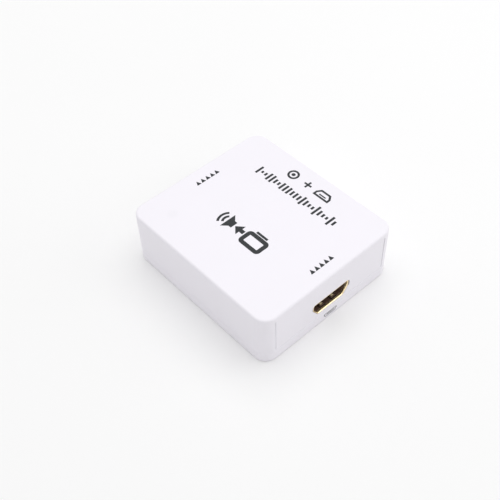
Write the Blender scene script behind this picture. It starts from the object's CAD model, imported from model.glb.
"""Dresses a small white video box that passes a picture signal on and splits its sound off.

Metres. +X is the input end, -X the output end, +Y the wall with the power inlet, +Z up, and the
ground lies at Z = 0 under the middle of the case.
"""
import logging
import math
from dataclasses import dataclass, fields
from enum import Enum
from typing import Iterable, Optional, Union

import bmesh
import bpy
from mathutils import Matrix, Vector


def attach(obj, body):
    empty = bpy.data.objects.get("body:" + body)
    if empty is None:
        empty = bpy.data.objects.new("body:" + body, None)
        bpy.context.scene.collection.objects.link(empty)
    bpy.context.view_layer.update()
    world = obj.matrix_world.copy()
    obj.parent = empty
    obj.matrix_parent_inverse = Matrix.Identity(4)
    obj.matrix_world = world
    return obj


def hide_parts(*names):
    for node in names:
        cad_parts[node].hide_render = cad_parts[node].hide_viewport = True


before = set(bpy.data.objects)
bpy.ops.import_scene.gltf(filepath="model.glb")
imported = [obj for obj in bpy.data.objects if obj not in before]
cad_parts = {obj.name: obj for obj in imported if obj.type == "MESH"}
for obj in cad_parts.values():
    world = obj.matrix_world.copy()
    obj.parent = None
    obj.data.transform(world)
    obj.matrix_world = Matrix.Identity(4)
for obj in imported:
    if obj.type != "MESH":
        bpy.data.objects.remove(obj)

LOG = logging.getLogger("video_box")
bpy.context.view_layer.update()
MM = 0.001
INK_FILM = 0.015 * MM
NOISE_RANGE = (0.3, 0.7)
Colour = tuple[float, float, float]
Triple = tuple[float, float, float]
Pair = tuple[float, float]
Points = list[Pair]


# --- Node trees -------------------------------------------------------------------------------


class Wire:
    """One output of a node, on which sums are written as plain Python expressions."""

    def __init__(self, graph: "Graph", made: bpy.types.Node, output: Union[int, str] = 0) -> None:
        """Keeps the tree, the node and which of its outputs is meant.

        Args:
            graph: The tree.
            made: The node.
            output: Which of its outputs is meant.
        """
        self.graph = graph
        self.made = made
        self.output = output

    @property
    def socket(self) -> bpy.types.NodeSocket:
        """The output's own socket."""
        return self.made.outputs[self.output]

    def also(self, output: Union[int, str]) -> "Wire":
        """Another output of the same node."""
        return Wire(self.graph, self.made, output)

    def _sum(self, operation: str, first: "Value", second: "Value" = 0.0) -> "Wire":
        """Adds one Math node of the given operation."""
        return self.graph.node("ShaderNodeMath", {"operation": operation}, {0: first, 1: second})

    def __add__(self, other: "Value") -> "Wire":
        """The sum of both."""
        return self._sum("ADD", self, other)

    def __radd__(self, other: "Value") -> "Wire":
        """The sum, with a number on the left."""
        return self._sum("ADD", other, self)

    def __sub__(self, other: "Value") -> "Wire":
        """The difference of both."""
        return self._sum("SUBTRACT", self, other)

    def __rsub__(self, other: "Value") -> "Wire":
        """The difference, with a number on the left."""
        return self._sum("SUBTRACT", other, self)

    def __mul__(self, other: "Value") -> "Wire":
        """The product of both."""
        return self._sum("MULTIPLY", self, other)

    def __rmul__(self, other: "Value") -> "Wire":
        """The product, with a number on the left."""
        return self._sum("MULTIPLY", other, self)

    def __truediv__(self, other: "Value") -> "Wire":
        """The quotient of both."""
        return self._sum("DIVIDE", self, other)

    def __gt__(self, other: "Value") -> "Wire":
        """1 where this is the greater, and 0 elsewhere."""
        return self._sum("GREATER_THAN", self, other)

    def __lt__(self, other: "Value") -> "Wire":
        """1 where this is the smaller, and 0 elsewhere."""
        return self._sum("LESS_THAN", self, other)

    def __abs__(self) -> "Wire":
        """The size without its sign."""
        return self._sum("ABSOLUTE", self)

    def part(self) -> "Wire":
        """What is left over after the whole number."""
        return self._sum("FRACT", self)

    def root(self) -> "Wire":
        """The square root."""
        return self._sum("SQRT", self)

    def at_most(self, other: "Value") -> "Wire":
        """The smaller of both."""
        return self._sum("MINIMUM", self, other)

    def at_least(self, other: "Value") -> "Wire":
        """The greater of both."""
        return self._sum("MAXIMUM", self, other)


Value = Union[Wire, float, int, tuple, str, bpy.types.ID]


class Graph:
    """A node tree that is being built."""

    def __init__(self, tree: bpy.types.NodeTree) -> None:
        """Keeps the tree."""
        self.tree = tree

    def feed(self, socket: bpy.types.NodeSocket, value: Value) -> None:
        """Links a wire to an input, or sets the input to a plain value.

        Args:
            socket: The input.
            value: The wire or the value.
        """
        if isinstance(value, Wire):
            self.tree.links.new(value.socket, socket)
        else:
            socket.default_value = value

    def node(self, kind: str, settings: Optional[dict] = None, inputs: Optional[dict] = None,
             output: Union[int, str] = 0) -> Wire:
        """Adds a node.

        Args:
            kind: The node's type.
            settings: Its properties, set first.
            inputs: A value or a wire for each input, by name or number.
            output: The output that is wanted.

        Returns:
            That output.
        """
        made = self.tree.nodes.new(kind)
        for key, value in (settings or {}).items():
            setattr(made, key, value)
        for key, value in (inputs or {}).items():
            self.feed(made.inputs[key], value)
        return Wire(self, made, output)


@dataclass(frozen=True)
class Cloud:
    """Cloudy noise.

    Attributes:
        size: Size of its spots, in metres.
        layers: How many finer layers lie in it.
        rough: How strong these are.
        stretch: A scale for each axis.
    """

    size: float
    layers: float = 3.0
    rough: float = 0.55
    stretch: Optional[Triple] = None


class Surface(Graph):
    """The node tree of a material, on Object coordinates in metres."""

    def __init__(self, material: bpy.types.Material) -> None:
        """Takes over the material's own tree and its shader.

        Args:
            material: The material, new and plain.
        """
        material.use_nodes = True
        super().__init__(material.node_tree)
        self.shader = material.node_tree.nodes["Principled BSDF"]
        self.place = self.node("ShaderNodeTexCoord", output="Object")

    def set(self, **values: Value) -> None:
        """Sets or links the shader's inputs, which are named with _ for a space."""
        for name, value in values.items():
            self.feed(self.shader.inputs[name.replace("_", " ")], value)

    def colour(self) -> Wire:
        """What the shader's colour is linked to so far."""
        link = self.shader.inputs["Base Color"].links[0]
        return Wire(self, link.from_node, link.from_socket.name)

    def axes(self) -> tuple[Wire, Wire, Wire]:
        """The three Object coordinates."""
        x = self.node("ShaderNodeSeparateXYZ", {}, {0: self.place})
        return x, x.also(1), x.also(2)

    def noise(self, cloud: Cloud) -> Wire:
        """Cloudy noise from 0 to 1.

        Args:
            cloud: The noise.

        Returns:
            Its value.
        """
        vector = self.place
        if cloud.stretch:
            vector = self.node("ShaderNodeMapping", {},
                               {"Vector": self.place, "Scale": cloud.stretch})
        return self.node("ShaderNodeTexNoise", {"noise_dimensions": "3D"},
                         {"Vector": vector, "Scale": 1.0 / cloud.size, "Detail": cloud.layers,
                          "Roughness": cloud.rough})

    def cells(self, size: float, output: str = "Distance") -> Wire:
        """Cells of that size in metres, as a distance or a colour of their own."""
        return self.node("ShaderNodeTexVoronoi", {"feature": "F1"},
                         {"Vector": self.place, "Scale": 1.0 / size}, output)

    def spread(self, wire: Wire, low: float, high: float,
               to_low: float = 0.0, to_high: float = 1.0) -> Wire:
        """Maps low..high smoothly to another range and holds it there."""
        return self.node("ShaderNodeMapRange", {"interpolation_type": "SMOOTHSTEP"},
                         {"Value": wire, "From Min": low, "From Max": high,
                          "To Min": to_low, "To Max": to_high})

    def fade(self, wire: Wire, full: float, none: float) -> Wire:
        """1 up to the first value, falling smoothly to 0 at the second."""
        return self.spread(wire, full, none, 1.0, 0.0)

    def swing(self, pattern: Wire, middle: float, swing: Pair) -> Wire:
        """Lets a value swing with a noise pattern.

        Args:
            pattern: The noise.
            middle: The value's middle.
            swing: How far it falls and rises from there.

        Returns:
            The value.
        """
        return self.spread(pattern, *NOISE_RANGE, middle - swing[0], middle + swing[1])

    def blend(self, share: Value, first: Value, second: Value) -> Wire:
        """Mixes two colours."""
        return self.node("ShaderNodeMix", {"data_type": "RGBA"},
                         {0: share, 6: solid(first), 7: solid(second)}, 2)

    def bump(self, height: Wire, depth: float, under: Optional[Wire] = None) -> Wire:
        """A normal from a height of 0 to 1.

        Args:
            height: The height.
            depth: How deep 0 lies under 1, in metres.
            under: A bump that lies under this one.

        Returns:
            The normal.
        """
        inputs = {"Height": height, "Distance": depth}
        if under is not None:
            inputs["Normal"] = under
        return self.node("ShaderNodeBump", {}, inputs)


def solid(colour: Value) -> Value:
    """A colour with its fourth number, or the wire as it is."""
    return colour if isinstance(colour, Wire) else (*colour[:3], 1.0)


# --- Finishes ---------------------------------------------------------------------------------


@dataclass(frozen=True)
class Finish:
    """A surface finish.

    Attributes:
        colour: Its main colour, linear.
        roughness: Its middle roughness.
        swing: How far the roughness falls and rises from there.
    """

    colour: Colour
    roughness: float
    swing: Pair = (0.05, 0.08)

    def material(self, name: str) -> bpy.types.Material:
        """Makes a material of this finish.

        Args:
            name: The material's name.

        Returns:
            The material.
        """
        made = bpy.data.materials.new(name)
        self.dress(Surface(made))
        return made

    def dress(self, surface: Surface) -> None:
        """Adds the nodes of this finish."""
        raise NotImplementedError


@dataclass(frozen=True)
class MouldedPlastic(Finish):
    """Injection-moulded plastic with the fine spark-eroded grain of its mould.

    Attributes:
        swing: How far the roughness falls and rises.
        grain: Size of the grain, in metres.
        depth: Depth of the grain, in metres.
        pit: Size of a pit, over the grain's.
        pit_edge: Distance from a pit's middle to its edge, over its size.
        pit_share: The pits' share of the depth.
        clouds: The patches in which the colour wanders.
        cloud_range: Where in the noise the wandering starts and ends.
        cloud: How much the colour wanders across a moulding.
        tint: The colour that it wanders to.
        flow: The waves that the flow of the plastic leaves.
        flow_depth: Their depth.
        coat: Weight of the slight skin gloss.
    """

    swing: Pair = (0.04, 0.05)
    grain: float = 0.16 * MM
    depth: float = 0.009 * MM
    pit: float = 2.6
    pit_edge: float = 0.5
    pit_share: float = 0.35
    clouds: Cloud = Cloud(14 * MM, layers=2.0)
    cloud_range: Pair = (0.35, 0.65)
    cloud: float = 0.25
    tint: Colour = (0.885, 0.865, 0.915)
    flow: Cloud = Cloud(3.2 * MM, rough=0.5, stretch=(1.0, 0.35, 1.0))
    flow_depth: float = 0.006 * MM
    coat: float = 0.0

    def dress(self, surface: Surface) -> None:
        """Adds the nodes of this finish.

        Args:
            surface: The material's nodes.
        """
        wide = surface.spread(surface.noise(self.clouds), *self.cloud_range)
        fine = surface.noise(Cloud(self.grain, layers=2.5, rough=0.6))
        pits = surface.spread(surface.cells(self.grain * self.pit), 0.0, self.pit_edge)
        relief = fine * (1 - self.pit_share) + pits * self.pit_share
        waves = surface.bump(surface.noise(self.flow), self.flow_depth)
        surface.set(
            Base_Color=surface.blend(wide * self.cloud, self.colour, self.tint),
            Roughness=surface.swing(fine, self.roughness, self.swing),
            Normal=surface.bump(relief, self.depth, waves),
            Coat_Weight=self.coat,
        )


@dataclass(frozen=True)
class CasePlastic(MouldedPlastic):
    """The white case's plastic: a cool white that lets a little light through over the lamp.

    Attributes:
        spot: Place of the lamp under the roof, in X and Y.
        spot_radius: Radius of the thinned roof over it.
        spot_fade: Where the spot starts to fade and where it ends, over its radius.
        spot_colour: The roof's colour there.
        spot_share: How much of that colour shows.
    """

    spot: Pair = (-20.6 * MM, -18.5 * MM)
    spot_radius: float = 1.9 * MM
    spot_fade: Pair = (0.4, 1.3)
    spot_colour: Colour = (0.84, 0.825, 0.875)
    spot_share: float = 0.35

    def dress(self, surface: Surface) -> None:
        """Adds the nodes of this finish.

        Args:
            surface: The material's nodes.
        """
        super().dress(surface)
        x, y, _ = surface.axes()
        dx, dy = x - self.spot[0], y - self.spot[1]
        full, none = (reach * self.spot_radius for reach in self.spot_fade)
        near = surface.fade((dx * dx + dy * dy).root(), full, none)
        share = near * self.spot_share
        surface.set(Base_Color=surface.blend(share, surface.colour(), self.spot_colour))


@dataclass(frozen=True)
class PlatedMetal(Finish):
    """Rolled sheet or wire with a plated skin, drawn along one axis.

    Attributes:
        swing: How far the roughness falls and rises.
        worn: The colour that shows through thin plating.
        wear: How much of the worn colour shows.
        patches: The patches in which the plating is thin.
        patch_range: Where in the noise a patch starts and where it is bare.
        draw: Scale of the drawing marks along each axis.
        mark: Width of a drawing mark, in metres.
        depth: Depth of the marks, in metres.
        dents: The slight dents of thin sheet.
        dent_depth: Their depth.
    """

    swing: Pair = (0.05, 0.07)
    worn: Colour = (0.6, 0.42, 0.2)
    wear: float = 0.35
    patches: Cloud = Cloud(1.1 * MM, layers=4.0, rough=0.6)
    patch_range: Pair = (0.48, 0.72)
    draw: Triple = (0.08, 1.0, 1.0)
    mark: float = 0.05 * MM
    depth: float = 0.0012 * MM
    dents: Cloud = Cloud(0.9 * MM)
    dent_depth: float = 0.004 * MM

    def dress(self, surface: Surface) -> None:
        """Adds the nodes of this finish.

        Args:
            surface: The material's nodes.
        """
        lines = surface.noise(Cloud(self.mark, layers=2.0, rough=0.6, stretch=self.draw))
        thin = surface.spread(surface.noise(self.patches), *self.patch_range)
        dents = surface.bump(surface.noise(self.dents), self.dent_depth)
        surface.set(
            Base_Color=surface.blend(thin * self.wear, self.colour, self.worn),
            Metallic=1.0,
            Roughness=surface.swing(lines, self.roughness, self.swing),
            Normal=surface.bump(lines, self.depth, dents),
        )


@dataclass(frozen=True)
class GildedShell(PlatedMetal):
    """A video socket's gilded shell: bright at its rim and fingers, and dull deep in its mouth.

    Attributes:
        dull: Colour of the thin plating inside.
        tarnish: How far the dull plating has lost its metal look, between 0 and 1.
        rim: Distances from the middle of the case between which the plating turns dull.
        inner_y: Half width of the mouth.
        inner_z: Heights of the mouth's floor and roof.
        middle: Height of the socket's middle.
        finger_y: Distance of the lower contact fingers from the middle of the mouth.
        finger_shift: How much farther out the upper fingers are.
        crest_x: Distance of the fingers' crests from the middle of the case.
        crest_z: Distances from the socket's middle between which the crests lie.
        spot: Half length and half width of the bright spot on a crest.
        spot_fade: Where a spot starts to fade and where it ends, over these.
        hump: Colour of the crests, which plugs keep bright.
    """

    dull: Colour = (0.2, 0.12, 0.09)
    tarnish: float = 0.6
    rim: Pair = (29.75 * MM, 30.35 * MM)
    inner_y: float = 7.35 * MM
    inner_z: Pair = (5.95 * MM, 11.05 * MM)
    middle: float = 8.5 * MM
    finger_y: float = 2.4 * MM
    finger_shift: float = 1.2 * MM
    crest_x: float = 28.95 * MM
    crest_z: Pair = (1.1 * MM, 2.2 * MM)
    spot: Pair = (0.38 * MM, 0.5 * MM)
    spot_fade: Pair = (0.6, 1.3)
    hump: Colour = (1.0, 0.88, 0.56)

    def dress(self, surface: Surface) -> None:
        """Adds the nodes of this finish.

        Args:
            surface: The material's nodes.
        """
        super().dress(surface)
        x, y, z = surface.axes()
        deep = surface.fade(abs(x), *self.rim)
        inside = deep * (abs(y) < self.inner_y) * (z > self.inner_z[0]) * (z < self.inner_z[1])
        height = abs(z - self.middle)
        crest = (height > self.crest_z[0]) * (height < self.crest_z[1])
        sideways = abs(y) - self.finger_y - (z > self.middle) * self.finger_shift
        for offset, half in zip((abs(x) - self.crest_x, sideways), self.spot):
            full, none = (share * half for share in self.spot_fade)
            crest = crest * surface.fade(abs(offset), full, none)
        plating = surface.blend(inside, surface.colour(), self.dull)
        surface.set(
            Base_Color=surface.blend(crest, plating, self.hump),
            Metallic=1 - inside * (crest * (1 - self.tarnish) + self.tarnish),
        )


@dataclass(frozen=True)
class BoardLaminate(Finish):
    """A circuit board: solder mask over copper tracks, with the bare glass cloth at its edges.

    Attributes:
        swing: How far the roughness falls and rises.
        track: Colour of the mask over copper.
        pitch: Distance between two tracks.
        track_half: Half width of a track, over the pitch.
        district: Size of a district in which the tracks run one way.
        draws: Below the first draw a district's tracks run along, and above the second across.
        rise: Height of a track.
        faces: Heights of the lower and upper face.
        skin: Thickness of the mask.
        core: Colour of the laminate's edge.
        thread: Colour of the glass threads in it.
        thread_share: How much of that colour shows.
        weave: The glass cloth's threads.
        weave_depth: Their depth.
        patches: The patches in which the mask is less glossy.
        coat: Weight of the mask's gloss.
    """

    swing: Pair = (0.0, 0.12)
    track: Colour = (0.035, 0.27, 0.11)
    pitch: float = 0.8 * MM
    track_half: float = 0.17
    district: float = 9 * MM
    draws: Pair = (0.35, 0.5)
    rise: float = 0.035 * MM
    faces: Pair = (3.9 * MM, 5.5 * MM)
    skin: float = 0.03 * MM
    core: Colour = (0.52, 0.45, 0.22)
    thread: Colour = (0.34, 0.28, 0.12)
    thread_share: float = 0.4
    weave: Cloud = Cloud(0.35 * MM, layers=1.0, rough=0.4, stretch=(1.0, 1.0, 4.0))
    weave_depth: float = 0.01 * MM
    patches: Cloud = Cloud(1.6 * MM)
    coat: float = 0.35

    def _lines(self, axis: Wire) -> Wire:
        """1 on the tracks that lie side by side along an axis, each in the middle of its pitch."""
        return abs((axis / self.pitch).part() - 0.5) < self.track_half

    def dress(self, surface: Surface) -> None:
        """Adds the nodes of this finish.

        Args:
            surface: The material's nodes.
        """
        x, y, z = surface.axes()
        districts = surface.cells(self.district, output="Color")
        draw = surface.node("ShaderNodeSeparateColor", {}, {0: districts})
        tracks = self._lines(x) * (draw > self.draws[1]) + self._lines(y) * (draw < self.draws[0])
        edge = (z > self.faces[0] + self.skin) * (z < self.faces[1] - self.skin)
        weave = surface.noise(self.weave)
        mask = surface.blend(tracks, self.colour, self.track)
        cloth = surface.blend(weave * self.thread_share, self.core, self.thread)
        relief = surface.bump(weave, self.weave_depth)
        surface.set(
            Base_Color=surface.blend(edge, mask, cloth),
            Roughness=surface.swing(surface.noise(self.patches), self.roughness, self.swing),
            Normal=surface.bump(tracks.at_most(1.0), self.rise, relief),
            Coat_Weight=self.coat,
        )


@dataclass(frozen=True)
class CastResin(Finish):
    """Moulding resin of a chip, a lamp or another small part.

    Attributes:
        fleck: Colour of its fine filler.
        fleck_size: Distance between two grains of filler.
        fleck_fade: Where a grain starts to fade and where it ends, over that distance.
        fleck_share: How much of the filler's colour shows.
        clear: How much light goes through.
        grain: The grain of its skin.
        depth: Depth of the grain.
    """

    fleck: Colour = (0.09, 0.09, 0.095)
    fleck_size: float = 0.16 * MM
    fleck_fade: Pair = (0.04, 0.11)
    fleck_share: float = 0.6
    clear: float = 0.0
    grain: Cloud = Cloud(0.09 * MM, rough=0.65)
    depth: float = 0.004 * MM

    def dress(self, surface: Surface) -> None:
        """Adds the nodes of this finish.

        Args:
            surface: The material's nodes.
        """
        grain = surface.noise(self.grain)
        filler = surface.fade(surface.cells(self.fleck_size), *self.fleck_fade)
        surface.set(
            Base_Color=surface.blend(filler * self.fleck_share, self.colour, self.fleck),
            Roughness=surface.swing(grain, self.roughness, self.swing),
            Normal=surface.bump(grain, self.depth),
            Transmission_Weight=self.clear,
        )


@dataclass(frozen=True)
class PrintedInk(Finish):
    """Pad-printed ink, a little uneven and rough at its edge.

    Attributes:
        swing: How far the roughness falls and rises.
        thin: Its colour where the film is thin.
        thin_share: How much of that colour shows.
        patches: The patches in which it is thin.
        patch_range: Where in the noise a patch starts and where it is thinnest.
        grain: The grain of its skin.
        depth: Depth of the grain.
        shine: Strength of its reflections.
    """

    swing: Pair = (0.06, 0.08)
    thin: Colour = (0.04, 0.043, 0.047)
    thin_share: float = 0.7
    patches: Cloud = Cloud(0.5 * MM, layers=4.0, rough=0.6)
    patch_range: Pair = (0.4, 0.7)
    grain: Cloud = Cloud(0.12 * MM, layers=2.0)
    depth: float = 0.004 * MM
    shine: float = 0.3

    def dress(self, surface: Surface) -> None:
        """Adds the nodes of this finish.

        Args:
            surface: The material's nodes.
        """
        film = surface.spread(surface.noise(self.patches), *self.patch_range)
        grain = surface.noise(self.grain)
        surface.set(
            Base_Color=surface.blend(film * self.thin_share, self.colour, self.thin),
            Roughness=surface.swing(grain, self.roughness, self.swing),
            Normal=surface.bump(grain, self.depth),
            Specular_IOR_Level=self.shine,
        )


@dataclass(frozen=True)
class FloorPaper(Finish):
    """The pale paper that the box stands on.

    Attributes:
        clouds: The wide patches of its colour.
        darkest: How dark these get, where 1 is the paper's own colour.
        fibre: The grain of its fibres.
        depth: Depth of the grain.
        shine: Strength of its reflections.
    """

    clouds: Cloud = Cloud(120 * MM, layers=2.0)
    darkest: float = 0.985
    fibre: Cloud = Cloud(0.6 * MM)
    depth: float = 0.004 * MM
    shine: float = 0.1

    def dress(self, surface: Surface) -> None:
        """Adds the nodes of this finish.

        Args:
            surface: The material's nodes.
        """
        darker = tuple(part * self.darkest for part in self.colour)
        surface.set(
            Base_Color=surface.blend(surface.noise(self.clouds), self.colour, darker),
            Roughness=self.roughness,
            Normal=surface.bump(surface.noise(self.fibre), self.depth),
            Specular_IOR_Level=self.shine,
        )


class Look(Enum):
    """Every finish of the box, under the name of its slot in the record.

    The ink has no slot of its own.
    """

    case_plastic = CasePlastic((0.905, 0.880, 0.937), 0.46, coat=0.06)
    black_plastic = MouldedPlastic((0.018, 0.015, 0.015), 0.36, grain=0.1 * MM,
                                   tint=(0.03, 0.026, 0.025))
    grey_plastic = MouldedPlastic((0.055, 0.055, 0.06), 0.42, grain=0.1 * MM,
                                  tint=(0.075, 0.075, 0.08))
    gilded_metal = GildedShell((1.0, 0.84, 0.55), 0.25, wear=0.12, depth=0.0006 * MM)
    gilded_contact = PlatedMetal((0.96, 0.72, 0.33), 0.17, mark=0.03 * MM)
    nickel_metal = PlatedMetal((0.66, 0.645, 0.6), 0.22, worn=(0.5, 0.48, 0.43))
    tinned_metal = PlatedMetal((0.72, 0.72, 0.71), 0.34, worn=(0.55, 0.55, 0.53), depth=0.002 * MM)
    plain_steel = PlatedMetal((0.52, 0.52, 0.53), 0.3, worn=(0.38, 0.37, 0.36))
    board_laminate = BoardLaminate((0.012, 0.14, 0.06), 0.3)
    brown_board = MouldedPlastic((0.2, 0.09, 0.04), 0.55, grain=0.12 * MM, tint=(0.27, 0.13, 0.06))
    red_resin = CastResin((0.32, 0.012, 0.02), 0.15, fleck=(0.4, 0.03, 0.03), clear=0.55)
    clear_resin = CastResin((0.86, 0.9, 0.87), 0.12, fleck=(0.8, 0.84, 0.8), clear=0.8)
    chip_resin = CastResin((0.02, 0.02, 0.022), 0.55)
    dark_ferrite = CastResin((0.085, 0.085, 0.092), 0.62, fleck=(0.16, 0.16, 0.165),
                             depth=0.012 * MM)
    tan_ceramic = CastResin((0.45, 0.29, 0.15), 0.5, fleck=(0.56, 0.4, 0.24))
    bare_aluminium = PlatedMetal((0.82, 0.82, 0.83), 0.3, worn=(0.7, 0.7, 0.71),
                                 draw=(1.0, 1.0, 0.06))
    printed_ink = PrintedInk((0.024, 0.027, 0.03), 0.6)


class Palette:
    """Makes each material once."""

    def __init__(self) -> None:
        """Starts with no material made."""
        self._made: dict[Look, bpy.types.Material] = {}

    def __getitem__(self, look: Look) -> bpy.types.Material:
        """The material of a finish."""
        if look not in self._made:
            self._made[look] = look.value.material(look.name)
        return self._made[look]


# --- Meshes -----------------------------------------------------------------------------------


def linked(name: str, mesh: bpy.types.Mesh) -> bpy.types.Object:
    """Puts a mesh into the scene as an object at the origin.

    Args:
        name: The object's name.
        mesh: Its mesh.

    Returns:
        The object.
    """
    made = bpy.data.objects.new(name, mesh)
    bpy.context.scene.collection.objects.link(made)
    return made


def settled(source: bpy.types.Object, name: str) -> bpy.types.Object:
    """Turns an object with live modifiers into a plain mesh object.

    Args:
        source: The object, which is removed.
        name: The new object's name.

    Returns:
        The plain object.
    """
    bpy.context.view_layer.update()
    graph = bpy.context.evaluated_depsgraph_get()
    mesh = bpy.data.meshes.new_from_object(source.evaluated_get(graph))
    source.modifiers.clear()
    bpy.data.objects.remove(source)
    return linked(name, mesh)


class Pieces:
    """Puts finished pieces on their bodies and keeps the count for the log."""

    def __init__(self, palette: Palette) -> None:
        """Keeps the palette that the pieces are painted from."""
        self.palette = palette
        self.count = 0

    def finish_node(self, node: str, look: Look) -> None:
        """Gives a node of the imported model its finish.

        Args:
            node: The node.
            look: Its finish.
        """
        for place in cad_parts[node].material_slots:
            place.material = self.palette[look]
        self._tell(node, look)

    def add(self, piece: bpy.types.Object, look: Look, body: str = "case",
            slot: Optional[str] = None, replaced: Iterable[str] = ()) -> None:
        """Gives a new piece its finish, its body and its slot.

        Args:
            piece: The piece, in place.
            look: Its finish.
            body: The body that it moves with.
            slot: The record's slot, where it isn't the finish's own.
            replaced: The nodes that it stands for.
        """
        piece.data.materials.clear()
        piece.data.materials.append(self.palette[look])
        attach(piece, body)
        slot or look.name
        if replaced:
            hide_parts(*replaced)
        self._tell(piece.name, look)

    def _tell(self, name: str, look: Look) -> None:
        """Reports one piece."""
        self.count += 1
        LOG.info("piece %02d %s in %s", self.count, name, look.name)


@dataclass(frozen=True)
class SoftEdges:
    """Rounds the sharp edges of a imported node, as a mould or a press leaves them.

    Attributes:
        radius: Radius of the rounding.
        segments: Faces across it.
        upright: Radius on edges that stand upright, where it differs.
        stands: The least Z of an upright edge's direction.
        sharp: The least angle between two faces that counts as an edge.
        flat: The greatest angle between two triangles of one flat face.
        near: The greatest distance between two corners that are one.
        weight: How much the large faces rule the shading, from 1 to 100.
    """

    radius: float
    segments: int
    upright: Optional[float] = None
    stands: float = 0.98
    sharp: float = math.radians(35)
    flat: float = math.radians(0.4)
    near: float = 0.0004 * MM
    weight: int = 60

    def merged(self, node: str) -> bmesh.types.BMesh:
        """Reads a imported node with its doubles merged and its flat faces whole.

        Args:
            node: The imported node, which stays as it is.

        Returns:
            The shape, which is a copy.
        """
        shape = bmesh.new()
        shape.from_mesh(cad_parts[node].data)
        bmesh.ops.remove_doubles(shape, verts=shape.verts, dist=self.near)
        bmesh.ops.dissolve_limit(shape, angle_limit=self.flat, verts=shape.verts, edges=shape.edges)
        return shape

    def rounded(self, shape: bmesh.types.BMesh, name: str) -> bpy.types.Object:
        """Rounds a shape's sharp convex edges.

        Args:
            shape: The shape, which is used up.
            name: The new object's name.

        Returns:
            The rounded piece.
        """
        upright = self.upright or self.radius
        widest = max(self.radius, upright)
        weights = shape.edges.layers.float.new("bevel_weight_edge")
        for edge in shape.edges:
            whole = len(edge.link_faces) == 2
            if whole and edge.is_convex and edge.calc_face_angle(0.0) > self.sharp:
                along = (edge.verts[1].co - edge.verts[0].co).normalized()
                edge[weights] = (upright if abs(along.z) > self.stands else self.radius) / widest
        for face in shape.faces:
            face.smooth = True
        mesh = bpy.data.meshes.new(name)
        shape.to_mesh(mesh)
        shape.free()
        piece = linked(name, mesh)
        bevel = piece.modifiers.new("round", "BEVEL")
        bevel.limit_method = "WEIGHT"
        bevel.width = widest
        bevel.segments = self.segments
        bevel.use_clamp_overlap = False
        weigh = piece.modifiers.new("weigh", "WEIGHTED_NORMAL")
        weigh.mode = "FACE_AREA"
        weigh.weight = self.weight
        return settled(piece, name)

    def copy_of(self, node: str, name: str) -> bpy.types.Object:
        """Makes the rounded copy of a node."""
        return self.rounded(self.merged(node), name)


@dataclass(frozen=True)
class FlaredMouth:
    """Opens the inner edge of a sheet shell's mouth, so that a plug finds its way in.

    Attributes:
        mouth: Distance of the mouth's plane from the middle of the case.
        depth: How far behind the mouth the flare starts.
        reach: How far it opens at the mouth.
        near: How near the mouth's plane a corner lies in it.
        wall_x: The greatest X of a wall's normal.
        least_lean: The least share of a corner's way that leads away from each wall.
    """

    mouth: float
    depth: float = 0.5 * MM
    reach: float = 0.21 * MM
    near: float = 0.001 * MM
    wall_x: float = 0.5
    least_lean: float = 0.5

    def _walls(self, edge: bmesh.types.BMEdge) -> list[bmesh.types.BMFace]:
        """The faces at an edge that lead into the mouth."""
        return [face for face in edge.link_faces if abs(face.normal.x) < self.wall_x]

    def open(self, shape: bmesh.types.BMesh, side: int) -> None:
        """Flares the mouth.

        Args:
            shape: The shell.
            side: 1 for a mouth towards +X, and -1 for one towards -X.
        """
        plane = (side * (self.mouth - self.depth), 0.0, 0.0)
        bmesh.ops.bisect_plane(shape, geom=shape.verts[:] + shape.edges[:] + shape.faces[:],
                               dist=self.near / 10, plane_co=plane, plane_no=(side, 0.0, 0.0))
        front = {v for v in shape.verts if side * v.co.x > self.mouth - self.near}
        rims = {e for e in shape.edges if front.issuperset(e.verts) and self._walls(e)}
        moves = {}
        for vert in min(self._loops(rims), key=lambda loop: max(v.co.y for v in loop)):
            walls = [face.normal for edge in vert.link_edges if edge in rims
                     for face in self._walls(edge)]
            away = -sum(walls, Vector()).normalized()
            lean = max(self.least_lean, min(-away.dot(normal) for normal in walls))
            moves[vert] = away * (self.reach / lean)
        for vert, move in moves.items():
            vert.co += move
        shape.normal_update()

    @staticmethod
    def _loops(edges: set[bmesh.types.BMEdge]) -> list[set[bmesh.types.BMVert]]:
        """Sorts edges into closed loops, as sets of their corners.

        Args:
            edges: The edges.

        Returns:
            Each loop's corners.
        """
        loops: list[set[bmesh.types.BMVert]] = []
        left = set(edges)
        while left:
            grown = set(left.pop().verts)
            added = True
            while added:
                touching = {e for e in left if not grown.isdisjoint(e.verts)}
                left -= touching
                grown |= {v for e in touching for v in e.verts}
                added = bool(touching)
            loops.append(grown)
        return loops


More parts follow.
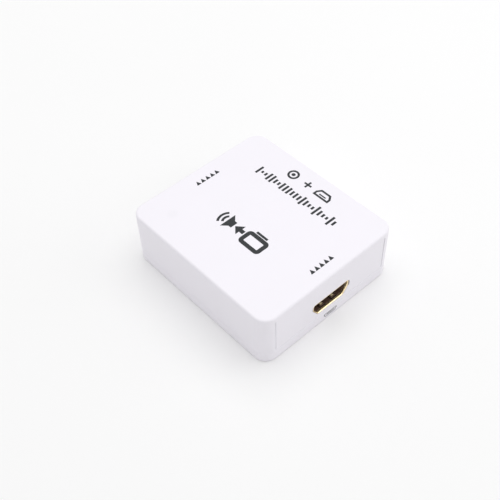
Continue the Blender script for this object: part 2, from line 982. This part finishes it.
class RowTree(Graph):
    """A Geometry Nodes tree that makes a row of equal parts, with named inputs for its sizes."""

    def __init__(self, name: str, sizes: Iterable[str]) -> None:
        """Opens the tree.

        Args:
            name: Its name.
            sizes: Its inputs, next to the number of parts and their finish.
        """
        super().__init__(bpy.data.node_groups.new(name, "GeometryNodeTree"))
        kinds = {"Geometry": "Geometry", **dict.fromkeys(sizes, "Float"),
                 "Count": "Int", "Finish": "Material"}
        for label, kind in kinds.items():
            self.tree.interface.new_socket(label, in_out="INPUT", socket_type=f"NodeSocket{kind}")
        self.tree.interface.new_socket("Geometry", in_out="OUTPUT",
                                       socket_type="NodeSocketGeometry")
        given = self.node("NodeGroupInput")
        self.given = {label: given.also(label) for label in kinds}

    def vector(self, x: Value = 0.0, y: Value = 0.0, z: Value = 0.0) -> Wire:
        """A vector of three numbers or wires."""
        return self.node("ShaderNodeCombineXYZ", {}, {"X": x, "Y": y, "Z": z})

    def line(self, start: Wire, step: Wire) -> Wire:
        """The points of the row."""
        return self.node("GeometryNodeMeshLine", {"mode": "OFFSET"},
                         {"Count": self.given["Count"], "Start Location": start, "Offset": step})

    def close(self, points: Wire, part: Wire, scale: Value = (1.0, 1.0, 1.0)) -> None:
        """Puts the part on the points, as real geometry with the finish.

        Args:
            points: The points.
            part: The part.
            scale: Its scale at each point.
        """
        row = self.node("GeometryNodeInstanceOnPoints", {},
                        {"Points": points, "Instance": part, "Scale": scale})
        real = self.node("GeometryNodeRealizeInstances", {}, {"Geometry": row})
        dressed = self.node("GeometryNodeSetMaterial", {},
                            {"Geometry": real, "Material": self.given["Finish"]})
        self.node("NodeGroupOutput", {}, {0: dressed})

    def run(self, start: bpy.types.Mesh, values: dict[str, Value]) -> bpy.types.Mesh:
        """Makes the row.

        Args:
            start: The mesh that the tree starts from.
            values: A value for each input, by its name.

        Returns:
            The row's mesh.
        """
        source = linked(start.name, start)
        rows = source.modifiers.new("rows", "NODES")
        rows.node_group = self.tree
        for item in self.tree.interface.items_tree:
            if item.item_type == "SOCKET" and item.in_out == "INPUT" and item.name in values:
                rows[item.identifier] = values[item.name]
        made = settled(source, start.name)
        mesh = made.data
        bpy.data.objects.remove(made)
        return mesh


@dataclass(frozen=True)
class StripRow:
    """A row of equal strips, each bent along one path: contacts, leads or legs.

    Attributes:
        width: Width of a strip.
        thick: Thickness of a strip.
        bend: Radius of the path's corners.
        pitch: Distance between two strips.
        edge: Radius of a strip's own edges, over its thickness.
        steps: Straight pieces in a corner of the path, and in a strip's edge.
    """

    width: float
    thick: float
    bend: float
    pitch: float
    edge: float = 0.25
    steps: tuple[int, int] = (4, 2)

    def _tree(self) -> RowTree:
        """Builds the row's tree.

        Returns:
            The tree.
        """
        tree = RowTree("strip_row", ("Width", "Thickness", "Bend", "Pitch"))
        given = tree.given

        def filleted(curve: Wire, radius: Wire, steps: int) -> Wire:
            """Rounds a curve's corners."""
            return tree.node("GeometryNodeFilletCurve", {"mode": "POLY"}, {
                "Curve": curve, "Radius": radius, "Count": steps, "Limit Radius": True})

        path = tree.node("GeometryNodeMeshToCurve", {}, {"Mesh": given["Geometry"]})
        section = tree.node("GeometryNodeCurvePrimitiveQuadrilateral", {"mode": "RECTANGLE"},
                            {"Width": given["Thickness"], "Height": given["Width"]})
        strip = tree.node("GeometryNodeCurveToMesh", {}, {
            "Curve": filleted(path, given["Bend"], self.steps[0]),
            "Profile Curve": filleted(section, given["Thickness"] * self.edge, self.steps[1]),
            "Fill Caps": True,
        })
        start = tree.vector(y=(given["Count"] - 1.0) * given["Pitch"] * -0.5)
        tree.close(tree.line(start, tree.vector(y=given["Pitch"])), strip)
        return tree

    def along(self, path: Points, count: int, material: bpy.types.Material) -> bpy.types.Mesh:
        """Makes a row whose path lies in X and Z and whose strips lie side by side along Y.

        Args:
            path: The strip's centreline, as points of X and Z.
            count: How many strips.
            material: Their finish.

        Returns:
            The row's mesh.
        """
        line = bpy.data.meshes.new("path")
        links = [(i, i + 1) for i in range(len(path) - 1)]
        line.from_pydata([(x, 0.0, z) for x, z in path], links, [])
        return self._tree().run(line, {
            "Width": self.width, "Thickness": self.thick, "Bend": self.bend, "Pitch": self.pitch,
            "Count": count, "Finish": material})


def joined(meshes: list[bpy.types.Mesh], place: Matrix, name: str,
           near: float = 0.0002 * MM) -> bpy.types.Object:
    """Joins meshes, moves them to their place and closes the skin.

    Args:
        meshes: The meshes, which are used up.
        place: Where they go.
        name: The piece's name.
        near: The greatest distance between two corners that are one.

    Returns:
        The piece.
    """
    shape = bmesh.new()
    for mesh in meshes:
        shape.from_mesh(mesh)
        bpy.data.meshes.remove(mesh)
    bmesh.ops.remove_doubles(shape, verts=shape.verts, dist=near)
    bmesh.ops.transform(shape, matrix=place, verts=shape.verts)
    bmesh.ops.recalc_face_normals(shape, faces=shape.faces)
    made = bpy.data.meshes.new(name)
    shape.to_mesh(made)
    shape.free()
    for polygon in made.polygons:
        polygon.use_smooth = False
    return linked(name, made)


# --- Sub-assemblies ---------------------------------------------------------------------------


@dataclass
class Case:
    """The white case: cover, tray and the two end plates between the corner posts.

    Attributes:
        edge: Rounding of the cover's and the tray's edges.
        plate_edge: Rounding of the end plates' edges.
        halves: The cover and the tray.
        plates: The end plates.
    """

    edge: SoftEdges = SoftEdges(0.08 * MM, segments=4, upright=0.27 * MM)
    plate_edge: SoftEdges = SoftEdges(0.1 * MM, segments=4, upright=0.24 * MM)
    halves: tuple[str, ...] = ("top_cover", "bottom_tray")
    plates: tuple[str, ...] = ("input_end_plate", "output_end_plate")

    def build(self, pieces: Pieces) -> None:
        """Adds the case's mouldings.

        Args:
            pieces: Where the finished pieces go.
        """
        for edge, nodes in ((self.edge, self.halves), (self.plate_edge, self.plates)):
            for node in nodes:
                moulding = edge.copy_of(node, f"{node}_moulding")
                pieces.add(moulding, Look.case_plastic, replaced=[node])


class End(Enum):
    """The two ends of the case, by the sign of X that leads out of each."""

    INPUT = 1
    OUTPUT = -1


@dataclass
class VideoSocket:
    """A gilded video socket. Its own axes are the case's, with X leading out of the mouth.

    Attributes:
        end: The end that it looks out of.
        mouth: Distance of the mouth from the middle of the case.
        depth: Depth of the shell.
        board: Height of the board's upper face.
        tongue: Height of the tongue's middle over the board.
        tongue_t: Thickness of the tongue.
        tip: Distance of the contacts' tips behind the mouth.
        seat: Gap between the insulator and the contacts' upright stretch.
        foot: Length of a contact's foot on the board.
        row: The contacts' strips.
        counts: Contacts over and under the tongue.
        press: Rounding of the shell's edges.
        liner: Depth and width of the black film under the shell's fingers.
        liner_t: Thickness of the film.
        liner_r: Radius of its corners, in millimetres.
        liner_set: How far the film stays behind the mouth.
        liner_level: Height of its middle over the board.
    """

    end: End
    mouth: float = 30.85 * MM
    depth: float = 11.2 * MM
    board: float = 5.5 * MM
    tongue: float = 3.54 * MM
    tongue_t: float = 1.3 * MM
    tip: float = 2.1 * MM
    seat: float = 0.05 * MM
    foot: float = 0.9 * MM
    row: StripRow = StripRow(width=0.3 * MM, thick=0.15 * MM, bend=0.18 * MM, pitch=1.0 * MM)
    counts: tuple[int, int] = (10, 9)
    press: SoftEdges = SoftEdges(0.05 * MM, segments=2)
    liner: Pair = (6.2 * MM, 9.2 * MM)
    liner_t: float = 0.08 * MM
    liner_r: float = 0.6
    liner_set: float = 0.45 * MM
    liner_level: float = 0.255 * MM

    @property
    def name(self) -> str:
        """The start of the nodes' names."""
        return "video_in" if self.end is End.INPUT else "video_out"

    def _contacts(self, material: bpy.types.Material) -> bpy.types.Object:
        """Both rows of contacts, bent from their tips on the tongue to their feet on the board.

        Args:
            material: Their finish.

        Returns:
            The contacts as one piece.
        """
        half = self.row.thick / 2
        back = -self.depth - self.seat - half
        meshes = []
        for side, count in zip((1, -1), self.counts):
            level = self.tongue + side * (self.tongue_t / 2 + half)
            path = [(-self.tip, level), (back, level), (back, half), (back - self.foot, half)]
            meshes.append(self.row.along(path, count, material))
        turn = 0.0 if self.end is End.INPUT else math.pi
        place = Matrix.Translation((self.end.value * self.mouth, 0.0, self.board))
        return joined(meshes, place @ Matrix.Rotation(turn, 4, "Z"), f"{self.name}_contact_rows")

    def _film(self) -> bpy.types.Object:
        """The black film that closes the slots round the shell's lower fingers from below.

        Returns:
            The film.
        """
        outline = tablet(self.liner[0] / MM, self.liner[1] / MM, self.liner_r)
        middle = self.end.value * (self.mouth - self.liner_set - self.liner[0] / 2)
        place = Matrix.Translation((middle, 0.0, self.board + self.liner_level))
        return joined([Mark((outline,), film=self.liner_t).mesh()], place, f"{self.name}_film")

    def build(self, pieces: Pieces) -> None:
        """Adds the socket.

        Args:
            pieces: Where the finished pieces go.
        """
        shell = self.press.merged(f"{self.name}_shell")
        FlaredMouth(self.mouth).open(shell, self.end.value)
        pressing = self.press.rounded(shell, f"{self.name}_shell_pressing")
        pieces.add(pressing, Look.gilded_metal, replaced=[f"{self.name}_shell"])
        pieces.finish_node(f"{self.name}_insulator", Look.black_plastic)
        rows = self._contacts(pieces.palette[Look.gilded_contact])
        pieces.add(rows, Look.gilded_contact, replaced=[f"{self.name}_contacts"])
        pieces.add(self._film(), Look.black_plastic)


@dataclass(frozen=True)
class BarRow:
    """A row of upright printed bars whose heights follow a sum of two waves.

    Attributes:
        length: Length of the row.
        tall: Height of the tallest bar.
        share: Share of the pitch that a bar fills.
        film: Thickness of the ink.
        slow: Turn of the slow wave from bar to bar, and its turn at the first bar, in radians.
        slow_share: Its share of the sum.
        quick: Turn of the quick wave from bar to bar.
        least: The least height, over the tallest bar's.
    """

    length: float
    tall: float
    share: float = 0.55
    film: float = INK_FILM
    slow: Pair = (0.9, 0.5)
    slow_share: float = 0.62
    quick: float = 2.3
    least: float = 0.2

    def _tree(self) -> RowTree:
        """Builds the row's tree.

        Returns:
            The tree.
        """
        tree = RowTree("bar_row", ("Length", "Tall", "Share", "Film"))
        given = tree.given
        pitch = given["Length"] / given["Count"]
        points = tree.line(tree.vector(x=(pitch - given["Length"]) * 0.5), tree.vector(x=pitch))
        index = tree.node("GeometryNodeInputIndex")
        slow, quick = (tree.node("ShaderNodeMath", {"operation": "SINE"}, {0: turn})
                       for turn in (index * self.slow[0] + self.slow[1], index * self.quick))
        swell = abs(slow * self.slow_share + quick * (1 - self.slow_share))
        height = swell * (1 - self.least) + self.least
        size = tree.vector(pitch * given["Share"], given["Tall"], given["Film"])
        bar = tree.node("GeometryNodeMeshCube", {}, {"Size": size})
        tree.close(points, bar, tree.vector(1.0, height, 1.0))
        return tree

    def mesh(self, count: int, material: bpy.types.Material) -> bpy.types.Mesh:
        """Makes the row round its own middle, lying along X with the bars along Y.

        Args:
            count: How many bars.
            material: Their ink.

        Returns:
            The row's mesh.
        """
        return self._tree().run(bpy.data.meshes.new("bars"), {
            "Length": self.length, "Tall": self.tall, "Share": self.share, "Film": self.film,
            "Count": count, "Finish": material})


@dataclass(frozen=True)
class Mark:
    """Flat shapes of ink, drawn in millimetres round the mark's own middle.

    Attributes:
        outlines: Closed outlines, each filled.
        rings: Outlines with the width of the line that follows them.
        film: Thickness of the ink.
        blunt: The least share of a mitre's way that leads across the line, at very sharp corners.
    """

    outlines: tuple[Points, ...] = ()
    rings: tuple[tuple[Points, float], ...] = ()
    film: float = INK_FILM
    blunt: float = 0.3

    def mesh(self) -> bpy.types.Mesh:
        """Makes the mark as thin solid plates of ink.

        Returns:
            Their mesh.
        """
        shape = bmesh.new()
        for outline in self.outlines:
            self._plate(shape, outline)
        for outline, width in self.rings:
            self._band(shape, outline, width)
        bmesh.ops.recalc_face_normals(shape, faces=shape.faces)
        made = bpy.data.meshes.new("mark")
        shape.to_mesh(made)
        shape.free()
        return made

    def _levels(self, shape: bmesh.types.BMesh, outline: Points) -> list[list[bmesh.types.BMVert]]:
        """Places an outline's points on the lower and the upper face of the ink."""
        levels = (-self.film / 2, self.film / 2)
        return [[shape.verts.new((x * MM, y * MM, level)) for x, y in outline] for level in levels]

    @staticmethod
    def _wall(shape: bmesh.types.BMesh, one: list[bmesh.types.BMVert],
              other: list[bmesh.types.BMVert]) -> None:
        """Joins two closed rows of points by a strip of faces."""
        for i, _ in enumerate(one):
            shape.faces.new((one[i - 1], one[i], other[i], other[i - 1]))

    def _plate(self, shape: bmesh.types.BMesh, outline: Points) -> None:
        """Adds one filled outline as a thin plate.

        Args:
            shape: The mesh that grows.
            outline: The outline.
        """
        low, high = self._levels(shape, outline)
        shape.faces.new(high)
        shape.faces.new(low[::-1])
        self._wall(shape, low, high)

    def _band(self, shape: bmesh.types.BMesh, outline: Points, width: float) -> None:
        """Adds a closed line of the given width, mitred at its corners.

        Args:
            shape: The mesh that grows.
            outline: The line's middle.
            width: Its width, in millimetres.
        """
        half, count = width / 2, len(outline)
        sides: tuple[Points, Points] = ([], [])
        for i in range(count):
            before, here, after = (Vector(outline[(i + k) % count]) for k in (-1, 0, 1))
            first, second = (here - before).normalized(), (after - here).normalized()
            normal = Vector((-first.y - second.y, first.x + second.x)).normalized()
            reach = half / max(self.blunt, normal.dot(Vector((-first.y, first.x))))
            sides[0].append(tuple(here + normal * reach))
            sides[1].append(tuple(here - normal * reach))
        outer_low, outer_high = self._levels(shape, sides[0])
        inner_low, inner_high = self._levels(shape, sides[1])
        rows = (outer_low, outer_high, inner_high, inner_low)
        for i, row in enumerate(rows):
            self._wall(shape, rows[i - 1], row)


def arc(middle: Pair, radius: float, start: float, end: float, count: int) -> Points:
    """Points along an arc.

    Args:
        middle: Its centre.
        radius: Its radius.
        start: Its first angle, in degrees.
        end: Its last angle.
        count: How many points.

    Returns:
        The points.
    """
    angles = (math.radians(start + (end - start) * i / (count - 1)) for i in range(count))
    return [(middle[0] + radius * math.cos(a), middle[1] + radius * math.sin(a)) for a in angles]


def circle(middle: Pair, radius: float, count: int) -> Points:
    """Points round a circle."""
    return arc(middle, radius, 0, 360, count + 1)[:-1]


def tablet(width: float, height: float, radius: float,
           middle: Pair = (0.0, 0.0), count: int = 6) -> Points:
    """A rectangle with round corners, as an outline.

    Args:
        width: Its width.
        height: Its height.
        radius: The corners' radius.
        middle: Its middle.
        count: Points in each corner.

    Returns:
        The outline.
    """
    x, y = width / 2 - radius, height / 2 - radius
    corners = ((x, y, 0), (-x, y, 90), (-x, -y, 180), (x, -y, 270))
    return [point for cx, cy, start in corners
            for point in arc((middle[0] + cx, middle[1] + cy), radius, start, start + 90, count)]


def bow(middle: Pair, radius: float, width: float, spread: float = 42.0, count: int = 14) -> Points:
    """A sound wave's bow: an arc of the given width, open to the left.

    Args:
        middle: The point that the wave comes from.
        radius: Radius of the bow's middle line.
        width: Its width.
        spread: How far it reaches up and down, in degrees.
        count: Points along each side.

    Returns:
        Its outline.
    """
    return (arc(middle, radius + width / 2, -spread, spread, count)
            + arc(middle, radius - width / 2, spread, -spread, count))


@dataclass
class Prints:
    """The charcoal marks: a picture comes in, and a picture and its sound go out.

    Attributes:
        roof: Height of the roof's face.
        end: Distance of the input end's face from the middle.
        lift: Height of the ink's middle over the face.
        symbol: Place of the bold picture-and-sound symbol, in X and Y.
        bars: Place of the long sound wave.
        bars_size: Its length and height.
        bars_count: How many bars it has.
        keys: Place of the row of small outlines.
        arrows: How many arrowheads a file has.
        arrow_pitch: Distance between two arrowheads, in millimetres.
        arrows_in: Place of the arrowheads beside the input.
        arrows_out: Place of the arrowheads beside the output.
        socket_mark: Place of the small mark under the socket, in Y and Z.
        wall: Distance of the inlet's wall from the middle.
        switch_marks: Place of the dots over the switch, in X and Z.
        inlet_mark: Place of the mark over the inlet.
    """

    roof: float = 20.0 * MM
    end: float = 31.0 * MM
    lift: float = 0.005 * MM
    symbol: Pair = (0.35 * MM, -7.7 * MM)
    bars: Pair = (0.3 * MM, 14.85 * MM)
    bars_size: Pair = (35.0 * MM, 4.6 * MM)
    bars_count: int = 23
    keys: Pair = (-0.4 * MM, 21.2 * MM)
    arrows: int = 5
    arrow_pitch: float = 1.95
    arrows_in: Pair = (25.9 * MM, 0.2 * MM)
    arrows_out: Pair = (-25.6 * MM, 0.05 * MM)
    socket_mark: Pair = (0.0, 2.1 * MM)
    wall: float = 27.5 * MM
    switch_marks: Pair = (-10.0 * MM, 11.6 * MM)
    inlet_mark: Pair = (12.0 * MM, 11.8 * MM)

    def _symbol(self) -> Mark:
        """A bold screen, an arrow and a loudspeaker with two bows of sound.

        Returns:
            The mark.
        """
        screen = tablet(7.4, 4.5, 0.8, (-5.35, 0.6))
        foot = [(-7.7, -3.5), (-3.0, -3.5), (-3.0, -2.65), (-7.7, -2.65)]
        shaft = [(-0.5, -0.65), (1.0, -0.65), (1.0, -2.1), (3.5, 0.1),
                 (1.0, 2.3), (1.0, 0.85), (-0.5, 0.85)]
        box = [(4.0, -1.3), (5.1, -1.3), (7.0, -3.1), (7.0, 3.3), (5.1, 1.5), (4.0, 1.5)]
        bows = [bow((6.2, 0.1), radius, 0.85) for radius in (2.2, 3.7)]
        return Mark((foot, shaft, box, *bows), ((screen, 1.5),))

    def _keys(self) -> Mark:
        """A plus between a small plug's outline and a small round socket.

        Returns:
            The mark.
        """
        plus = [(-0.35, -1.5), (0.35, -1.5), (0.35, -0.35), (1.5, -0.35),
                (1.5, 0.35), (0.35, 0.35), (0.35, 1.5), (-0.35, 1.5),
                (-0.35, 0.35), (-1.5, 0.35), (-1.5, -0.35), (-0.35, -0.35)]
        plug = [(-9.6, 1.3), (-4.0, 1.3), (-4.0, 0.1), (-5.0, -1.3), (-8.6, -1.3), (-9.6, 0.1)]
        pins = [(-8.2, 0.1), (-5.4, 0.1), (-5.4, 0.6), (-8.2, 0.6)]
        ring, dot = (circle((6.6, 0.0), radius, 24) for radius in (1.7, 0.7))
        line = 0.75
        return Mark((plus, pins, dot), ((plug, line), (ring, line)))

    def _flow(self) -> Mark:
        """A file of small arrowheads that all point along X, one beside the other along Y.

        Returns:
            The mark.
        """
        head = [(-0.85, -0.85), (0.9, 0.0), (-0.85, 0.85)]
        middles = [self.arrow_pitch * (i - (self.arrows - 1) / 2) for i in range(self.arrows)]
        return Mark(tuple([(x, y + middle) for x, y in head] for middle in middles))

    def _socket(self) -> Mark:
        """The small outline of the socket's mouth."""
        mouth = [(-2.6, 0.65), (2.6, 0.65), (2.6, 0.1), (1.9, -0.65), (-1.9, -0.65), (-2.6, 0.1)]
        return Mark(([(-1.7, -0.08), (1.7, -0.08), (1.7, 0.22), (-1.7, 0.22)],), ((mouth, 0.24),))

    def _positions(self) -> Mark:
        """One dot and two dots, for the switch's two positions."""
        return Mark(tuple(circle((x, 0.0), 0.42, 18) for x in (-1.6, 1.15, 2.35)))

    def _power(self) -> Mark:
        """A flash, for the power inlet."""
        flash = [(0.5, 1.3), (-0.8, -0.2), (-0.05, -0.2), (-0.5, -1.3), (0.8, 0.25), (0.05, 0.25)]
        return Mark((flash,))

    def _printed(self, ink: bpy.types.Material) -> Iterable[tuple[str, bpy.types.Mesh, Matrix]]:
        """The marks with their names and places.

        Args:
            ink: Their finish.

        Yields:
            Each mark's name, mesh and place.
        """
        bars = BarRow(*self.bars_size).mesh(self.bars_count, ink)
        on_roof = (
            ("roof_symbol", self._symbol().mesh(), self.symbol),
            ("roof_sound_bars", bars, self.bars),
            ("roof_keys", self._keys().mesh(), self.keys),
            ("roof_arrows_in", self._flow().mesh(), self.arrows_in),
            ("roof_arrows_out", self._flow().mesh(), self.arrows_out),
        )
        turned = Matrix.Rotation(math.pi, 4, "Z")
        for name, mesh, place in on_roof:
            yield name, mesh, Matrix.Translation((*place, self.roof + self.lift)) @ turned
        at_end = Matrix(((0, 0, 1, self.end + self.lift), (1, 0, 0, self.socket_mark[0]),
                         (0, 1, 0, self.socket_mark[1]), (0, 0, 0, 1)))
        yield "socket_mark", self._socket().mesh(), at_end
        for name, mark, (x, z) in (("switch_dots", self._positions(), self.switch_marks),
                                   ("inlet_flash", self._power(), self.inlet_mark)):
            on_wall = Matrix(((-1, 0, 0, x), (0, 0, 1, self.wall + self.lift),
                              (0, 1, 0, z), (0, 0, 0, 1)))
            yield name, mark.mesh(), on_wall

    def build(self, pieces: Pieces) -> None:
        """Prints the marks."""
        for name, mesh, place in self._printed(pieces.palette[Look.printed_ink]):
            pieces.add(joined([mesh], place, name), Look.printed_ink, slot="black_plastic")


@dataclass(frozen=True)
class PlainAssembly:
    """A sub-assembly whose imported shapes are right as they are.

    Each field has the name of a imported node, and holds the finish that it gets.
    """

    def build(self, pieces: Pieces) -> None:
        """Gives each node its finish."""
        for node in fields(self):
            pieces.finish_node(node.name, getattr(self, node.name))


@dataclass(frozen=True)
class Board(PlainAssembly):
    """The circuit board and the two screws that hold it."""

    board_screws: Look = Look.plain_steel
    circuit_board: Look = Look.board_laminate


@dataclass(frozen=True)
class AudioJack(PlainAssembly):
    """The stereo audio jack with its plated bush."""

    audio_jack_housing: Look = Look.black_plastic
    audio_jack_bush: Look = Look.nickel_metal
    audio_jack_springs: Look = Look.tinned_metal


@dataclass(frozen=True)
class OpticalSocket(PlainAssembly):
    """The optical socket with its hinged shutter."""

    optical_housing: Look = Look.black_plastic
    optical_shutter: Look = Look.grey_plastic
    optical_shutter_spring: Look = Look.plain_steel
    optical_emitter: Look = Look.red_resin
    optical_leads: Look = Look.tinned_metal


@dataclass(frozen=True)
class PowerInlet(PlainAssembly):
    """The small power inlet."""

    power_inlet_shell: Look = Look.nickel_metal
    power_inlet_insulator: Look = Look.black_plastic
    power_inlet_contacts: Look = Look.gilded_contact


@dataclass(frozen=True)
class ModeSwitch(PlainAssembly):
    """The slide switch for the kind of sound."""

    mode_switch_frame: Look = Look.plain_steel
    mode_switch_base: Look = Look.brown_board
    mode_switch_slider: Look = Look.black_plastic
    mode_switch_wiper: Look = Look.gilded_contact
    mode_switch_terminals: Look = Look.tinned_metal


@dataclass(frozen=True)
class StatusLamp(PlainAssembly):
    """The lamp under the thin spot in the roof."""

    status_lamp: Look = Look.clear_resin
    status_lamp_leads: Look = Look.tinned_metal


@dataclass(frozen=True)
class Chips(PlainAssembly):
    """The chips and the voltage regulator on their leads."""

    main_chip: Look = Look.chip_resin
    main_chip_leads: Look = Look.tinned_metal
    audio_chip: Look = Look.chip_resin
    audio_chip_leads: Look = Look.tinned_metal
    memory_chips: Look = Look.chip_resin
    memory_chip_leads: Look = Look.tinned_metal
    regulator: Look = Look.chip_resin
    regulator_leads: Look = Look.tinned_metal


@dataclass(frozen=True)
class SmallParts(PlainAssembly):
    """The other small parts on the board."""

    power_coil: Look = Look.dark_ferrite
    crystal_can: Look = Look.nickel_metal
    crystal_leads: Look = Look.tinned_metal
    capacitor_cans: Look = Look.bare_aluminium
    capacitor_bases: Look = Look.black_plastic
    surge_arrays: Look = Look.chip_resin
    chip_resistors: Look = Look.chip_resin
    chip_capacitors: Look = Look.tan_ceramic
    chip_end_caps: Look = Look.tinned_metal


# --- Studio -----------------------------------------------------------------------------------


@dataclass(frozen=True)
class SoftBox:
    """A rectangular soft lamp.

    Attributes:
        name: Its name.
        place: Its middle, in metres.
        size: Its width and height.
        glow: How bright its face is, where 1 is white.
        aim: The point that it faces.
    """

    name: str
    place: Triple
    size: Pair
    glow: float
    aim: Triple = (0.0, 0.0, 0.01)

    def light(self) -> None:
        """Hangs the lamp."""
        lamp = bpy.data.lights.new(self.name, "AREA")
        lamp.shape = "RECTANGLE"
        lamp.size, lamp.size_y = self.size
        lamp.energy = self.glow * math.pi * self.size[0] * self.size[1]
        made = bpy.data.objects.new(self.name, lamp)
        made.location = self.place
        back = Vector(self.place) - Vector(self.aim)
        made.rotation_euler = back.to_track_quat("Z", "Y").to_euler()
        bpy.context.scene.collection.objects.link(made)


@dataclass
class Studio:
    """The photograph's camera, a pale floor and soft light.

    Attributes:
        eye: Place of the camera.
        right: The picture's direction to the right.
        down: The picture's direction downwards.
        lens: Focal length on the sensor, in millimetres.
        sensor: Width of the sensor, in millimetres.
        clip: The nearest and farthest distance that the camera sees.
        floor: Half the length of the floor's side.
        floor_z: The floor's height.
        paper: The floor's finish.
        sky: Brightness of the room around.
        lamps: The soft lamps.
    """

    eye: Triple = (0.129351, -0.116889, 0.204547)
    right: Triple = (0.67548, 0.73697, -0.02461)
    down: Triple = (0.54385, -0.52045, -0.6583)
    lens: float = 58.86
    sensor: float = 36.0
    clip: Pair = (0.01, 50.0)
    floor: float = 0.9
    floor_z: float = -0.01 * MM
    paper: FloorPaper = FloorPaper((0.963, 0.963, 0.963), 0.85)
    sky: float = 0.59
    lamps: tuple[SoftBox, ...] = (
        SoftBox("ceiling", (-0.07, 0.17, 0.87), (1.05, 1.05), 1.22),
        SoftBox("left", (-0.6, -0.25, 0.35), (0.5, 0.5), 0.3),
        SoftBox("right", (0.42, 0.5, 0.35), (0.5, 0.5), 0.7),
    )

    def camera(self) -> None:
        """Sets the camera up where the photograph was taken."""
        data = bpy.data.cameras.new("camera")
        data.sensor_width = self.sensor
        data.lens = self.lens
        data.clip_start, data.clip_end = self.clip
        made = bpy.data.objects.new("camera", data)
        bpy.context.scene.collection.objects.link(made)
        x = Vector(self.right).normalized()
        y = -Vector(self.down).normalized()
        z = x.cross(y).normalized()
        y = z.cross(x)
        made.matrix_world = Matrix.Translation(self.eye) @ Matrix((x, y, z)).transposed().to_4x4()
        bpy.context.scene.camera = made

    def ground(self) -> None:
        """Lays the floor."""
        half = self.floor
        corners = [(x, y, self.floor_z)
                   for x, y in ((-half, -half), (half, -half), (half, half), (-half, half))]
        mesh = bpy.data.meshes.new("floor")
        mesh.from_pydata(corners, [], [(0, 1, 2, 3)])
        mesh.materials.append(self.paper.material("floor_paper"))
        linked("floor", mesh)

    def room(self) -> None:
        """Fills the room around with plain light, which the camera and metal see as white."""
        world = bpy.data.worlds.new("room")
        bpy.context.scene.world = world
        world.use_nodes = True
        graph = Graph(world.node_tree)
        rays = graph.node("ShaderNodeLightPath", output="Is Camera Ray")
        seen = rays.at_least(rays.also("Is Transmission Ray")).at_least(rays.also("Is Glossy Ray"))
        strength = self.sky + seen * (1.0 - self.sky)
        backdrop = world.node_tree.nodes["Background"]
        graph.feed(backdrop.inputs["Color"], solid((1.0, 1.0, 1.0)))
        graph.feed(backdrop.inputs["Strength"], strength)

    def build(self) -> None:
        """Sets the whole studio up."""
        bpy.context.scene.view_settings.view_transform = "Standard"
        self.camera()
        self.ground()
        self.room()
        for lamp in self.lamps:
            lamp.light()


def main() -> None:
    """Builds the studio and every sub-assembly."""
    logging.basicConfig(level=logging.INFO, format="%(message)s")
    Studio().build()
    pieces = Pieces(Palette())
    for assembly in (Case(), VideoSocket(End.INPUT), VideoSocket(End.OUTPUT), Board(),
                     AudioJack(), OpticalSocket(), PowerInlet(), ModeSwitch(), StatusLamp(),
                     Chips(), SmallParts(), Prints()):
        assembly.build(pieces)
    LOG.info("%d pieces", pieces.count)


if __name__ == "__main__":
    main()
